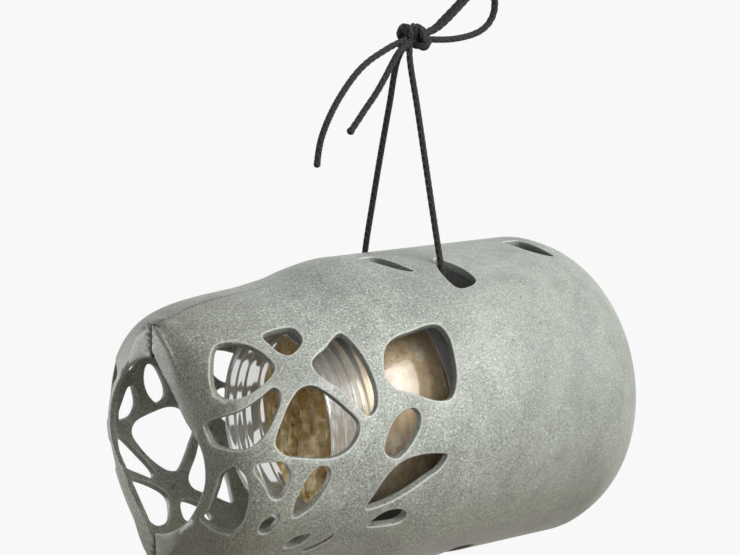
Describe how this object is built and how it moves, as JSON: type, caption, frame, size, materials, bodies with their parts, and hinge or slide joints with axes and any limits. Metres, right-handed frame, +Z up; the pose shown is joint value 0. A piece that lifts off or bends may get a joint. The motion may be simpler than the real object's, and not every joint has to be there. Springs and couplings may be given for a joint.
{
  "type": "bird feeder",
  "caption": "Hanging bird feeder: two pierced half shells threaded on a knotted cord hold a peanut butter jar lying on its side, open towards the front.",
  "frame": {"origin": "inside the top of the cord's loop, where the feeder hangs", "axes": "+Z up; X along the shell's length, the front opening faces -X; the halves meet on the plane y = 0"},
  "size_m": [0.1797, 0.11, 0.2033],
  "materials": {
    "shell": "speckled recycled plastic, fine grain, satin",
    "jar": "clear",
    "label": "plain paper, matte",
    "filling": "soft, oily, chunky",
    "cord": "braided, matte"
  },
  "bodies": {
    "left_half": {"left_shell": "shell", "cord_left_strand": "cord", "cord_inner_run": "cord", "cord_right_strand": "cord", "hang_knot": "cord", "loop_cord_front": "cord", "loop_cord_back": "cord", "long_tail": "cord", "short_tail": "cord"},
    "right_half": {"right_shell": "shell"},
    "jar": {"glass_jar": "jar", "jar_label": "label", "peanut_butter": "filling"}
  },
  "joints": [
    {"name": "shell_opening", "type": "hinge", "parent": "left_half", "child": "right_half", "pos_m": [-0.032, 0, -0.0915], "axis": [1, 0, 0], "range_deg": [0, 80], "deforming": ["cord_inner_run", "cord_right_strand"]},
    {"name": "jar_lift", "type": "slide", "parent": "left_half", "child": "jar", "axis": [0, 1, 0], "range_m": [0, 0.0489]}
  ],
  "couplings": [
    {"joint": "jar_lift", "follows": "shell_opening", "m_per_rad": 0.035}
  ]
}
